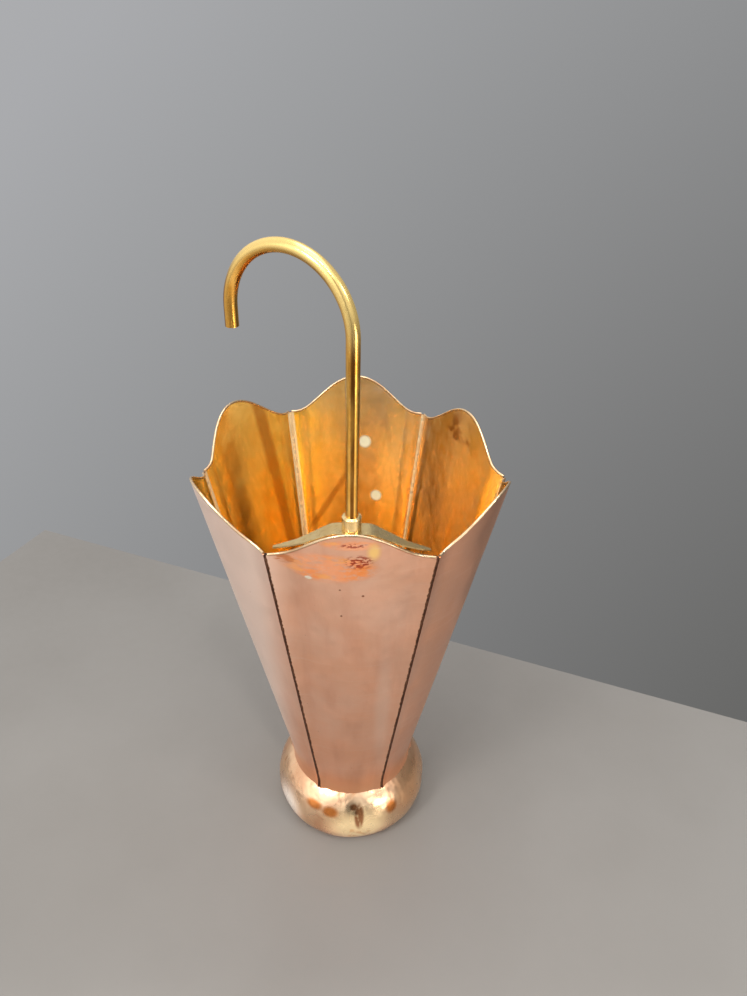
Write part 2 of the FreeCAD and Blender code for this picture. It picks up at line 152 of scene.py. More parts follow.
def face_outwards(piece):
    only(piece)
    bpy.ops.object.mode_set(mode="EDIT")
    bpy.ops.mesh.select_all(action="SELECT")
    bpy.ops.mesh.remove_doubles(threshold=1e-6)
    bpy.ops.mesh.normals_make_consistent(inside=False)
    bpy.ops.object.mode_set(mode="OBJECT")


def finish_piece(piece, materials, node, smooth_to=40):
    """Settles the piece's place in its mesh, shades it, dresses it and ties it to the model."""
    only(piece)
    bpy.ops.object.transform_apply(location=True, rotation=True, scale=True)
    bpy.ops.object.shade_smooth_by_angle(angle=math.radians(smooth_to))
    piece.data.materials.clear()
    for material in materials:
        piece.data.materials.append(material)
    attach(piece, "root")
    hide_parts(node)
    print(f"{piece.name}: {len(piece.data.polygons)} faces")


def remember(piece, name, values):
    """Keeps one vector for each vertex, for a finish that follows the piece's own shape."""
    stored = piece.data.attributes.new(name, "FLOAT_VECTOR", "POINT")
    stored.data.foreach_set("vector", [number for value in values for number in value])


# %% [markdown]
# ## Helpers for finishes
#
# Every metal here is the same idea: a polished metal whose colour wanders, whose polish is cloudy in
# places, and whose surface carries fine scratches. So a few helpers make noise, masks and blends,
# always read in the object's own coordinates, and each finish joins them in its own way.

# %% Finish helpers
class Nodes:
    """A node tree and short ways to add to it."""

    def __init__(self, tree):
        self.tree = tree

    def link(self, a, b):
        self.tree.links.new(a, b)

    def node(self, kind, inputs=(), **settings):
        made = self.tree.nodes.new("ShaderNode" + kind)
        for name, value in settings.items():
            setattr(made, name, value)
        for index, value in inputs:
            if isinstance(value, bpy.types.NodeSocket):
                self.link(value, made.inputs[index])
            else:
                made.inputs[index].default_value = value
        return made

    def part(self, vector, axis):
        return self.node("SeparateXYZ", [(0, vector)]).outputs[axis]

    def band(self, value, low, high, out_low=0.0, out_high=1.0):
        """Maps low..high smoothly on to out_low..out_high."""
        inputs = [("Value", value), ("From Min", low), ("From Max", high)]
        inputs += [("To Min", out_low), ("To Max", out_high)]
        return self.node("MapRange", inputs, interpolation_type="SMOOTHSTEP").outputs["Result"]

    def math(self, operation, a, b=0.0):
        return self.node("Math", [(0, a), (1, b)], operation=operation).outputs[0]

    def times(self, a, b):
        return self.math("MULTIPLY", a, b)

    def most(self, a, b):
        return self.math("MAXIMUM", a, b)

    def blend(self, share, a, b):
        """Mixes colour a with colour b, by b's share."""
        return self.node("Mix", [(0, share), (6, a), (7, b)], data_type="RGBA").outputs[2]


class Finish(Nodes):
    """A surface's material under construction."""

    def __init__(self, name, metallic, **fixed):
        self.material = bpy.data.materials.new(name)
        self.material.use_nodes = True
        super().__init__(self.material.node_tree)
        self.shader = self.tree.nodes["Principled BSDF"]
        self.shader.inputs["Metallic"].default_value = metallic
        for socket, value in fixed.items():
            self.shader.inputs[socket].default_value = value
        self.place = self.node("TexCoord").outputs["Object"]

    def mapped(self, stretch=(1, 1, 1), shift=(0, 0, 0), turn=(0, 0, 0), where=None):
        inputs = [("Vector", where or self.place), ("Scale", stretch)]
        inputs += [("Location", shift), ("Rotation", turn)]
        return self.node("Mapping", inputs).outputs["Vector"]

    def remembered(self, name):
        return self.node("Attribute", attribute_name=name).outputs["Vector"]

    def noise(self, scale, detail=2.0, where=None, distortion=0.0, roughness=0.5):
        inputs = [("Vector", where or self.place), ("Scale", scale), ("Detail", detail)]
        inputs += [("Distortion", distortion), ("Roughness", roughness)]
        return self.node("TexNoise", inputs).outputs["Fac"]

    def spot(self, centre, radii, soft=0.4):
        """1 inside an ellipsoid, falling to 0 over its soft outer share."""
        shift = [-c / r for c, r in zip(centre, radii)]
        where = self.mapped(stretch=[1 / r for r in radii], shift=shift)
        far = self.node("VectorMath", [(0, where)], operation="LENGTH").outputs["Value"]
        return self.band(far, 1.0, 1.0 - soft)

    def colour(self, value):
        self.link(value, self.shader.inputs["Base Color"])

    def metal(self, value):
        self.link(value, self.shader.inputs["Metallic"])

    def rough(self, value):
        self.link(value, self.shader.inputs["Roughness"])

    def bump(self, *layers):
        """Each layer is a height and its depth in metres."""
        normal = None
        for height, depth in layers:
            inputs = [("Height", height), ("Distance", depth), ("Strength", 1.0)]
            if normal:
                inputs.append(("Normal", normal))
            normal = self.node("Bump", inputs).outputs["Normal"]
        self.link(normal, self.shader.inputs["Normal"])

    def scratches(self, turn, along=14.0, across=900.0, level=0.62, where=None):
        """Thin lines in one direction, 0 to 1."""
        where = self.mapped(stretch=(across, across, along), turn=turn, where=where)
        return self.band(self.noise(1.0, 2.0, where), level, level + 0.06)


def rgb(red, green, blue):
    return (red, green, blue, 1.0)


print("finish helpers ready")

# %% [markdown]
# ## Copper outside
#
# The outside is old polished copper: pinkish where it was rubbed last, browner in long soft streaks
# from the rolling mill, with a haze of fine scratches and small dark specks. Under the front rim a
# patch has coloured orange and red from the heat of soldering. The patch is a soft ellipse broken up by
# noise.
#
# A place is written as the centre of an ellipsoid and its three radii, in metres.

# %% Places and colours on the outside
STAIN = (-0.018, -0.128, 0.427), (0.043, 0.06, 0.0185)
STAIN_AT_RIM = (0.000, -0.134, 0.4545), (0.027, 0.03, 0.0065)
GLOW = (0.0172, -0.132, 0.447), (0.0075, 0.03, 0.0135)
EMBERS = (0.006, -0.131, 0.436), (0.0135, 0.03, 0.0095)
EMBERS_AT_RIM = (0.002, -0.134, 0.4545), (0.013, 0.03, 0.0032)
LOOP = (-0.0515, -0.119, 0.430), (0.0115, 0.03, 0.0062)
DAB = (-0.034, -0.122, 0.4136), (0.0038, 0.02, 0.0024)
LIT_BAND = (0.030, -0.09, 0.22), (0.011, 0.06, 0.17)
SPECKS = (0.0095, 0.3957, 0.0015), (-0.009, 0.4028, 0.0012), (-0.008, 0.3697, 0.0013)
SPECK_FRONT, SPECK_DEPTH = -0.122, 0.02

rolled_pink, rolled_pale = rgb(0.94, 0.50, 0.32), rgb(0.97, 0.60, 0.44)
streak_brown, freckle_brown = rgb(0.80, 0.39, 0.25), rgb(0.34, 0.12, 0.06)
# The pale left colour is a painted reflection, and the brown right colour is painted shade.
left_painted_sheen, right_painted_shade, bottom_warm = rgb(1.0, 0.80, 0.70), rgb(0.74, 0.38, 0.24), rgb(0.97, 0.46, 0.22)
stain_orange, stain_gold = rgb(1.0, 0.31, 0.075), rgb(1.0, 0.45, 0.13)
glow_yellow, ember_red = rgb(1.0, 0.64, 0.20), rgb(0.42, 0.045, 0.01)
loop_brown, dab_pale, speck_brown = rgb(0.72, 0.24, 0.08), rgb(1.0, 0.90, 0.74), rgb(0.24, 0.06, 0.02)
seam_brown, rubbed_pink, lit_pink = rgb(0.16, 0.055, 0.025), rgb(0.99, 0.72, 0.56), rgb(1.0, 0.70, 0.55)
print("the heat stain is centred", STAIN[0][2], "m up")


# %% The outside copper
def rolled_copper(f, across):
    streaks = f.noise(1.0, 3.0, f.mapped(stretch=(55, 55, 5)))
    clouds = f.noise(9.0, 4.0, roughness=0.6)
    base = f.blend(f.band(clouds, 0.3, 0.7), rolled_pink, rolled_pale)
    base = f.blend(f.band(streaks, 0.45, 0.75, 0.0, 0.45), base, streak_brown)
    # Painted light: the left side is painted pale as a reflection, and the right side painted brown as
    # shade.
    base = f.blend(f.band(across, -0.045, -0.085, 0.0, 0.85), base, left_painted_sheen)
    base = f.blend(f.band(across, 0.03, 0.08, 0.0, 0.8), base, right_painted_shade)
    freckles = f.band(f.noise(330.0, 2.0), 0.75, 0.80, 0.0, 0.5)
    base = f.blend(freckles, base, freckle_brown)
    near_foot = f.band(f.part(f.place, "Z"), 0.105, 0.07, 0.0, 0.6)
    return f.blend(near_foot, base, bottom_warm)


def heat_stain(f, base):
    """Colours the heat-stained patch below the rim, and also gives where the stain's dull layer lies."""
    broken = f.noise(1.0, 6.0, f.mapped(stretch=(130, 90, 300)), roughness=0.72)
    veil = f.band(f.noise(24.0, 3.0), 0.35, 0.6, 0.55, 1.0)
    whole = f.most(f.spot(*STAIN, soft=0.35), f.spot(*STAIN_AT_RIM, soft=0.4))
    stain = f.times(whole, f.band(broken, 0.36, 0.56, 0.15, 1.0))
    base = f.blend(f.times(stain, veil), base, stain_orange)
    gold = f.times(stain, f.band(f.noise(1.0, 3.0, f.mapped(stretch=(50, 50, 120))), 0.5, 0.62))
    base = f.blend(f.times(gold, 0.7), base, stain_gold)
    glow = f.spot(*GLOW, soft=0.8)
    base = f.blend(f.times(glow, 0.9), base, glow_yellow)
    ember_place = f.most(f.spot(*EMBERS, soft=0.5), f.spot(*EMBERS_AT_RIM, soft=0.5))
    ember = f.band(f.noise(1.0, 3.0, f.mapped(stretch=(230, 230, 420))), 0.47, 0.52)
    base = f.blend(f.times(f.times(ember, ember_place), 0.95), base, ember_red)
    return base, f.most(stain, glow)


def small_marks(f, base):
    grain = f.band(f.noise(1.0, 3.0, f.mapped(stretch=(120, 120, 420))), 0.42, 0.52, 0.25)
    loop = f.times(f.spot(*LOOP, soft=0.45), grain)
    base = f.blend(f.times(loop, 0.85), base, loop_brown)
    base = f.blend(f.spot(*DAB, soft=0.5), base, dab_pale)
    for x, z, size in SPECKS:
        speck = f.spot((x, SPECK_FRONT, z), (size, SPECK_DEPTH, size), soft=0.6)
        base = f.blend(speck, base, speck_brown)
    return base


def outside_copper():
    f = Finish("copper outside", 1.0)
    across = f.part(f.place, "X")
    base, tarnish_and_shade = heat_stain(f, rolled_copper(f, across))
    base = small_marks(f, base)
    seam_far = f.part(f.remembered("sheet_place"), "X")
    ragged = f.math("ADD", seam_far, f.band(f.noise(260.0, 3.0), 0.3, 0.7, -0.0003, 0.0003))
    seam_dark = f.band(ragged, 0.0007, 0.0002)
    base = f.blend(seam_dark, base, seam_brown)
    rubbed = f.band(f.noise(1.0, 3.0, f.mapped(stretch=(9, 9, 260))), 0.55, 0.75, 0.0, 0.16)
    base = f.blend(rubbed, base, rubbed_pink)
    f.colour(f.blend(f.times(f.spot(*LIT_BAND, soft=0.8), 0.5), base, lit_pink))
    # The left side is made less metallic as part of its painted reflection; the heat stain's tarnish lowers
    # the metal too.
    sheen_and_tarnish = f.most(f.band(across, -0.045, -0.085, 0.07, 0.30), f.times(tarnish_and_shade, 0.5))
    f.metal(f.math("SUBTRACT", 1.0, sheen_and_tarnish))
    marks = f.scratches((0, 0, 0))
    cross = f.scratches((0.9, 0.3, 0.2), along=10.0, across=700.0, level=0.64)
    haze = f.band(f.noise(26.0, 4.0, roughness=0.7), 0.3, 0.7, 0.34, 0.46)
    worn = f.math("ADD", haze, f.times(f.math("ADD", marks, cross), 0.08))
    f.rough(f.math("ADD", worn, f.times(seam_dark, 0.2)))
    f.bump((f.noise(34.0, 2.0), 0.0010), (f.noise(300.0, 2.0), 0.00003), (marks, 0.00002), (cross, 0.00003))
    return f.material


copper_outside = outside_copper()
print("made", copper_outside.name)

# %% [markdown]
# ## Copper inside
#
# The inside was never polished. The light that reaches it has bounced from copper to copper, which already
# makes it golden, and its amber colour is partly painted reflection of that bounced light. Lacquer and old
# heat have mottled it in amber patches. It is painted gold on the left, as reflection, and painted darker
# lower down, as shade. One dark band of painted shade leans across the back left panel beside its seam, and
# a thin painted shadow line of the handle leans across the back panel. Two pale round spots of painted
# reflection sit on the back panel, and a pale painted highlight runs beside the seams.

# %% Places and colours on the inside
PINK_SIDE = (0.095, 0.09, 0.43), (0.15, 0.14, 0.20)
INNER_STAIN = (0.098, 0.065, 0.441), (0.03, 0.03, 0.022)
# Where the painted shade beside the back left seam lies, and how it leans.
RIDGE_SHADE_PLACE = (-0.080, 0.087, 0.36), (0.06, 0.05, 0.20)
RIDGE_SHADE_SLOPE, RIDGE_SHADE_START = -1.35, 1.077
# Where the painted shadow line of the handle lies, and how it leans.
HANDLE_SHADOW_PLACE = (-0.026, 0.104, 0.335), (0.045, 0.05, 0.045)
HANDLE_SHADOW_SLOPE, HANDLE_SHADOW_START = 0.638, 0.2397
# Two round spots of painted reflection on the back panel.
HIGH_GLINT = (0.009, 0.120, 0.397), (0.0082, 0.0082, 0.0086)
LOW_GLINT = (0.022, 0.108, 0.338), (0.0076, 0.0076, 0.0078)

# The amber colours are partly the copper's own and partly painted reflection of light bounced between the
# copper walls.
amber, amber_pale, amber_deep = rgb(0.98, 0.70, 0.27), rgb(0.99, 0.77, 0.43), rgb(0.88, 0.52, 0.14)
inner_pink, inner_gold_reflection, inner_low_shade = rgb(0.90, 0.71, 0.60), rgb(1.0, 0.78, 0.26), rgb(0.84, 0.57, 0.24)
inner_brown, ridge_shade_brown = rgb(0.44, 0.19, 0.07), rgb(0.45, 0.19, 0.04)
handle_shadow_brown, glint_pale, seam_highlight_pale = rgb(0.50, 0.22, 0.05), rgb(0.80, 0.84, 0.68), rgb(1.0, 0.88, 0.66)
print("the tin dabs are", HIGH_GLINT[0][2], "and", LOW_GLINT[0][2], "m up")


# %% The inside copper
def amber_copper(f, mottle):
    clouds = f.noise(16.0, 5.0, roughness=0.65)
    base = f.blend(f.band(clouds, 0.32, 0.68), amber, amber_pale)
    base = f.blend(f.band(mottle, 0.5, 0.75, 0.0, 0.5), base, amber_deep)
    pink = f.times(f.spot(*PINK_SIDE, soft=0.6), f.band(f.noise(30.0, 3.0), 0.3, 0.7, 0.7, 1.0))
    base = f.blend(pink, base, inner_pink)
    # Painted reflection: the left of the inside is painted gold.
    left = f.band(f.part(f.place, "X"), -0.03, -0.075)
    base = f.blend(f.times(left, 0.9), base, inner_gold_reflection)
    # Painted shade: lower down, except on the left, the inside is painted darker.
    deep_shade = f.times(f.band(f.part(f.place, "Z"), 0.38, 0.28), f.math("SUBTRACT", 1.0, left))
    return f.blend(f.times(deep_shade, 0.75), base, inner_low_shade)


def inner_stain_and_shade(f, base, height, across):
    stain = f.times(f.spot(*INNER_STAIN, soft=0.6), f.band(f.noise(60.0, 4.0), 0.46, 0.58))
    base = f.blend(f.times(stain, 0.8), base, inner_brown)
    # Painted shade: a dark band leaning beside the back left seam.
    drift = f.math("ADD", f.times(height, RIDGE_SHADE_SLOPE), RIDGE_SHADE_START)
    beside = f.math("ABSOLUTE", f.math("ADD", across, drift))
    tarnish_and_shade = f.times(f.band(beside, 0.14, 0.05), f.spot(*RIDGE_SHADE_PLACE, soft=0.3))
    base = f.blend(f.times(tarnish_and_shade, 0.65), base, ridge_shade_brown)
    # Painted shadow: a thin dark line of the handle across the back panel.
    lean = f.math("SUBTRACT", f.part(f.place, "X"), f.times(height, HANDLE_SHADOW_SLOPE))
    beside = f.math("ABSOLUTE", f.math("ADD", lean, HANDLE_SHADOW_START))
    handle_shadow = f.times(f.band(beside, 0.0060, 0.0015), f.spot(*HANDLE_SHADOW_PLACE, soft=0.4))
    return f.blend(f.times(handle_shadow, 0.6), base, handle_shadow_brown)


def inside_copper():
    f = Finish("copper inside", 1.0)
    mottle = f.noise(75.0, 4.0, roughness=0.6, distortion=0.4)
    place = f.remembered("sheet_place")
    seam_far, height, across = (f.part(place, axis) for axis in "XYZ")
    base = inner_stain_and_shade(f, amber_copper(f, mottle), height, across)
    # Painted reflection: two pale round spots, also made less metallic.
    dabs = f.most(f.spot(*HIGH_GLINT, soft=0.5), f.spot(*LOW_GLINT, soft=0.5))
    base = f.blend(dabs, base, glint_pale)
    # Painted highlight: a pale line beside each seam inside, strongest on the left, also made less
    # metallic.
    seam_highlight = f.times(f.band(seam_far, 0.0036, 0.0022), f.band(f.part(f.place, "X"), 0.04, -0.03, 0.15, 1.0))
    f.colour(f.blend(seam_highlight, base, seam_highlight_pale))
    f.metal(f.math("SUBTRACT", 1.0, f.most(f.times(dabs, 0.75), f.times(seam_highlight, 0.5))))
    f.rough(f.band(f.noise(40.0, 4.0, roughness=0.7), 0.3, 0.7, 0.14, 0.26))
    grain = f.scratches((0.2, 0.1, 0.4), along=20.0, across=600.0)
    f.bump((f.noise(38.0, 3.0), 0.0008), (mottle, 0.00006), (grain, 0.00003))
    return f.material


copper_inside = inside_copper()
print("made", copper_inside.name)

# %% [markdown]
# ## Solder, tin and wire
#
# Outside, the solder in the seams has gone dark brown. Inside, the same seams show pale tin, painted
# creamier and less metallic than tin as a painted highlight. The wire along the rim has been handled
# bright.

# %% Solder, tin and rim wire
def lumpy_metal(name, metallic, lumps, colours, worn, polish, grain):
    """A finish whose colour and polish follow the same small lumps."""
    f = Finish(name, metallic)
    lump = f.noise(**lumps)
    f.colour(f.blend(f.band(lump, *worn), *colours))
    f.rough(f.band(lump, 0.3, 0.7, *polish))
    grain_scale, grain_depth = grain
    f.bump((f.noise(grain_scale, 3.0), grain_depth))
    return f.material


solder_finish = lumpy_metal(
    "seam solder", 0.75, lumps={"scale": 160.0, "detail": 4.0, "roughness": 0.6},
    colours=(rgb(0.045, 0.018, 0.010), rgb(0.22, 0.10, 0.055)),
    worn=(0.35, 0.7), polish=(0.36, 0.6), grain=(300.0, 0.0004))
# The tin inside is painted creamier and less metallic than tin, as a painted highlight.
tin_and_highlight_finish = lumpy_metal(
    "seam tin", 0.55, lumps={"scale": 120.0, "detail": 3.0},
    colours=(rgb(1.0, 0.90, 0.68), rgb(0.85, 0.66, 0.40)),
    worn=(0.35, 0.7), polish=(0.24, 0.4), grain=(260.0, 0.0002))
wire_finish = lumpy_metal(
    "rim wire", 1.0, lumps={"scale": 90.0, "detail": 4.0},
    colours=(rgb(0.90, 0.68, 0.44), rgb(0.62, 0.35, 0.19)),
    worn=(0.42, 0.72, 0.0, 0.7), polish=(0.22, 0.40), grain=(220.0, 0.0003))
print("made", solder_finish.name, tin_and_highlight_finish.name, wire_finish.name)

# %% [markdown]
# ## The foot's copper
#
# The foot is the thinnest polish of all, spun on a lathe, with rings too fine to see one by one. Its front
# and left carry a pale painted highlight, yellowish in front and cream on the left, where the copper is
# also made less metallic. It is burnt in scattered spots where the torch came near, and three dark red
# spots on the front are painted dark reflections. One dark streak down the front is a painted reflection
# too.

# %% The foot's copper
# Where the foot's painted highlights lie, front and left.
FOOT_FRONT_HIGHLIGHT = (0.010, -0.082, 0.032), (0.050, 0.040, 0.034)
FOOT_LEFT_HIGHLIGHT = (-0.066, -0.035, 0.024), (0.024, 0.045, 0.030)
FOOT_RIGHT = (0.060, -0.035, 0.045), (0.022, 0.045, 0.035)
# Three dark spots on the front, painted reflections.
FOOT_DARK_REFLECTIONS = (((-0.0215, -0.075, 0.0455), (0.0125, 0.014, 0.0080)),
              ((-0.0400, -0.068, 0.0480), (0.0140, 0.014, 0.0070)),
              ((0.0450, -0.065, 0.0435), (0.0090, 0.012, 0.0100)))
# A dark streak down the front, a painted reflection.
DARK_STREAK_REFLECTION = (0.0100, -0.077, 0.042), (0.0066, 0.016, 0.019)
DARK_STREAK_REFLECTION_TOP = (0.0040, -0.075, 0.053), (0.0060, 0.012, 0.0045)
# Where the foot is made less metallic for its painted highlight.
LESS_METAL_FRONT_HIGHLIGHT = (0.010, -0.084, 0.022), (0.050, 0.030, 0.030)
LESS_METAL_LEFT_HIGHLIGHT = (-0.066, -0.045, 0.022), (0.024, 0.044, 0.028)

foot_pink, foot_pale = rgb(0.93, 0.52, 0.30), rgb(0.98, 0.68, 0.44)
foot_highlight_yellow, foot_highlight_cream, foot_amber = rgb(1.0, 0.76, 0.42), rgb(1.0, 0.92, 0.85), rgb(0.98, 0.54, 0.28)
burn_and_reflection_red, streak_reflection_brown = rgb(0.62, 0.19, 0.03), rgb(0.30, 0.10, 0.03)


def foot_colour(f):
    clouds = f.noise(22.0, 4.0, roughness=0.6)
    base = f.blend(f.band(clouds, 0.3, 0.7), foot_pink, foot_pale)
    # Painted highlight: the front is painted yellow and the left cream.
    base = f.blend(f.times(f.spot(*FOOT_FRONT_HIGHLIGHT, soft=0.7), 0.9), base, foot_highlight_yellow)
    base = f.blend(f.times(f.spot(*FOOT_LEFT_HIGHLIGHT, soft=0.8), 0.85), base, foot_highlight_cream)
    base = f.blend(f.times(f.spot(*FOOT_RIGHT, soft=0.6), 0.75), base, foot_amber)
    # Dark red: scattered burns all over, and three painted dark reflections on the front.
    burns_and_reflections = f.band(f.noise(46.0, 3.0, distortion=0.8), 0.64, 0.72, 0.0, 0.5)
    for reflection_spot in FOOT_DARK_REFLECTIONS:
        burns_and_reflections = f.most(burns_and_reflections, f.spot(*reflection_spot, soft=0.6))
    base = f.blend(f.times(burns_and_reflections, 0.92), base, burn_and_reflection_red)
    # Painted reflection: one dark streak down the front.
    streak_reflection_place = f.most(f.spot(*DARK_STREAK_REFLECTION, soft=0.45), f.spot(*DARK_STREAK_REFLECTION_TOP, soft=0.6))
    streak_breakup = f.band(f.noise(1.0, 3.0, f.mapped(stretch=(160, 160, 60))), 0.30, 0.45, 0.45)
    return f.blend(f.times(f.times(streak_reflection_place, streak_breakup), 0.92), base, streak_reflection_brown)


def foot_copper():
    f = Finish("foot copper", 1.0)
    f.colour(foot_colour(f))
    # Painted highlight: the front and left are made less metallic, so they look paler.
    painted_highlight = f.most(f.spot(*LESS_METAL_FRONT_HIGHLIGHT, soft=0.6), f.spot(*LESS_METAL_LEFT_HIGHLIGHT, soft=0.7))
    f.metal(f.math("SUBTRACT", 1.0, f.times(painted_highlight, 0.7)))
    rings = f.noise(1.0, 2.0, f.mapped(stretch=(6, 6, 1500)))
    f.rough(f.band(f.noise(50.0, 4.0), 0.3, 0.7, 0.22, 0.34))
    f.bump((f.noise(48.0, 2.0), 0.0020), (rings, 0.00004), (f.noise(420.0, 2.0), 0.00004))
    return f.material


foot_finish = foot_copper()
print("made", foot_finish.name)

# %% [markdown]
# ## Brass
#
# The handle's brass is lacquered gold with brown breaks in the lacquer that run along the tube. One deep
# dark stripe along the tube is a painted dark reflection. On the crook's outer side a pale, less metallic
# patch is a painted highlight. The strap and the collar are paler brass.

# %% Brass
# The very dark brown is a painted dark reflection, and the pale gold a painted highlight.
lacquer_break, rod_dark_reflection, crook_highlight_gold = rgb(0.34, 0.14, 0.02), rgb(0.20, 0.065, 0.010), rgb(1.0, 0.74, 0.27)


def lacquered_brass(f, where, shades, breaks, polish):
    """Sets the polish and the fine marks, and gives the colour."""
    clouds = f.noise(60.0, 4.0, where, roughness=0.6)
    runs = f.noise(1.0, 3.0, f.mapped(stretch=(260, 260, 16), where=where))
    base = f.blend(f.band(clouds, 0.3, 0.7), *shades)
    marks = f.scratches((0, 0, 0), along=30.0, across=1400.0, where=where)
    f.rough(f.math("ADD", f.band(clouds, 0.3, 0.7, *polish), f.times(marks, 0.1)))
    f.bump((f.noise(140.0, 3.0, where), 0.0002), (marks, 0.00003))
    return f.blend(f.band(runs, 0.54, 0.66, 0.0, breaks), base, lacquer_break)


def plain_brass(name, metallic, shades, breaks, polish):
    f = Finish(name, metallic)
    f.colour(lacquered_brass(f, f.place, shades, breaks, polish))
    return f.material


def handle_brass():
    """Follows the tube as if it were straight: X towards the crook's end, Y sideways, Z along it."""
    f = Finish("handle brass", 1.0)
    where = f.remembered("unbent")
    shades = rgb(0.88, 0.50, 0.12), rgb(0.80, 0.39, 0.06)
    base = lacquered_brass(f, where, shades, 0.5, (0.16, 0.28))
    # Painted reflection: one dark stripe along the tube.
    reflection_x, reflection_y, reflection_radius = -0.0029, -0.0041, 0.0019
    wide = 1 / reflection_radius
    beside = f.mapped(stretch=(wide, wide, 0.01), where=where, shift=(-reflection_x * wide, -reflection_y * wide, 0))
    far = f.node("VectorMath", [(0, beside)], operation="LENGTH").outputs["Value"]
    ragged = f.band(f.noise(1.0, 2.0, f.mapped(stretch=(90, 90, 14), where=where)), 0.30, 0.45, 0.35, 0.9)
    base = f.blend(f.times(f.band(far, 1.0, 0.45), ragged), base, rod_dark_reflection)
    forward, along = f.part(where, "X"), f.part(where, "Z")
    # Painted highlight: a pale, less metallic patch on the crook's outer side.
    crook_highlight = f.times(f.band(along, 0.135, 0.17), f.band(along, 0.31, 0.26))
    crook_highlight = f.times(crook_highlight, f.band(forward, 0.0028, -0.0008))
    f.colour(f.blend(f.times(crook_highlight, 0.85), base, crook_highlight_gold))
    f.metal(f.math("SUBTRACT", 1.0, f.times(crook_highlight, 0.32)))
    return f.material


handle_finish = handle_brass()
strap_shades = rgb(0.74, 0.57, 0.29), rgb(0.68, 0.48, 0.21)
strap_finish = plain_brass("strap brass", 0.95, strap_shades, 0.2, (0.20, 0.34))
collar_shades = rgb(0.97, 0.76, 0.40), rgb(0.88, 0.60, 0.26)
collar_finish = plain_brass("collar brass", 0.95, collar_shades, 0.4, (0.14, 0.28))
print("made", handle_finish.name, strap_finish.name, collar_finish.name)


# %% [markdown]
# ## Steel and the vessel's floor
#
# The screw is plain steel, and only shows from below. The vessel's floor is unpolished, brown and
# gritty, as a floor under wet umbrellas is.

# %% Steel and floor copper
def steel():
    f = Finish("screw steel", 1.0)
    spots = f.noise(300.0, 4.0)
    f.colour(f.blend(f.band(spots, 0.45, 0.7), rgb(0.56, 0.55, 0.53), rgb(0.30, 0.24, 0.19)))
    f.rough(f.band(spots, 0.3, 0.7, 0.24, 0.45))
    f.bump((f.noise(900.0, 2.0), 0.00005))
    return f.material


def plate_copper():
    f = Finish("vessel floor copper", 0.9)
    clouds = f.noise(30.0, 5.0, roughness=0.65)
    grit = f.noise(260.0, 3.0)
    base = f.blend(f.band(clouds, 0.3, 0.7), rgb(0.42, 0.22, 0.10), rgb(0.62, 0.34, 0.16))
    f.colour(f.blend(f.band(grit, 0.55, 0.7, 0.0, 0.7), base, rgb(0.16, 0.07, 0.03)))
    f.rough(f.band(clouds, 0.3, 0.7, 0.48, 0.66))
    f.bump((clouds, 0.0008), (grit, 0.0001))
    return f.material


steel_finish, plate_finish = steel(), plate_copper()
print("made", steel_finish.name, plate_finish.name)

# %% [markdown]
# ## The six panels
#
# Each panel is cut flat from sheet, bent over a stake and beaten, so it is never quite even. A grid is
# the flat sheet: its columns run up the panel and its rows across. No edit-mode operator bends a sheet
# to this shape, so its points are moved to the wall's shape in code, with a gentle unevenness that dies
# out at the edges, where the sheet is held by solder and wire. Solidify then gives it the sheet's own
# thickness, inwards.

# %% Form the panels
COLUMNS = 90
ROWS = 76
ROWS_CLOSER_UP = 1.15
BEATEN = 0.00034  # how far the hammer's marks stand out or in
CLOSE_SHARE = 0.35
CALM_SIDE, CALM_TOP, CALM_BOTTOM = 0.14, 0.06, 0.08  # shares of the sheet along its held edges
CLOSE_OFFSET = Vector((7.0, 3.0, 1.0))


def unevenness(point, across, up):
    from_edges = (1 - abs(across)) / CALM_SIDE, (1 - up) / CALM_TOP, up / CALM_BOTTOM
    edge = math.prod(min(1.0, share) for share in from_edges)
    broad = noise.noise(Vector((point.x * 22, point.y * 22, point.z * 16)))
    close = noise.noise(Vector((point.x * 62, point.y * 62, point.z * 50)) + CLOSE_OFFSET)
    return BEATEN * edge * (broad + CLOSE_SHARE * close)


def dress_inside(piece, turned):
    """Gives the second finish to the faces that look at the vessel's axis."""
    for face in piece.data.polygons:
        outwards = Vector((face.center.x, face.center.y, 0)).normalized()
        face.material_index = 1 if face.normal.dot(outwards) < turned else 0


def form_panel(node, azimuth, bow):
    start()
    bpy.ops.mesh.primitive_grid_add(x_subdivisions=COLUMNS, y_subdivisions=ROWS, size=2)
    sheet = bpy.context.object
    sheet.name = node + "_sheet"
    middle = math.radians(azimuth)
    places = []
    for vertex in sheet.data.vertices:
        across, up = vertex.co.x, (vertex.co.y + 1) / 2
        height = wall_bottom + (rim_height(across) - wall_bottom) * up ** ROWS_CLOSER_UP
        flat = panel_point(middle, across, height, bow)
        places.append(((1 - abs(across)) * half_panel * wall_radius(height), height, across))
        vertex.co = panel_point(middle, across, height, bow, unevenness(flat, across, up))
    remember(sheet, "sheet_place", places)
    modify(sheet, "SOLIDIFY", thickness=sheet_thick, offset=-1.0)
    finish_piece(sheet, [copper_outside, copper_inside], node)
    dress_inside(sheet, -0.5)
    return sheet


for node, azimuth, bow in panels:
    form_panel(node, azimuth, bow)

# %% [markdown]
# ## Solder in the seams
#
# Solder is melted along each standing seam from the outside, and sets in small lumps. A curve with a
# round bevel lies in the groove between two panels, and a small change of its radius from point to
# point makes the lumps. One is laid along each seam and turned into a mesh, and all six are joined into
# one piece.

# %% Lay the solder
SEAM_POINTS = 110
BEAD_RADIUS = 0.0012
BEAD_INSET = 0.0014
BEAD_END_GAP = 0.0013
LUMP_CLOSENESS, LUMP_SIZE, SEAMS_APART = 240, 0.10, 9.1


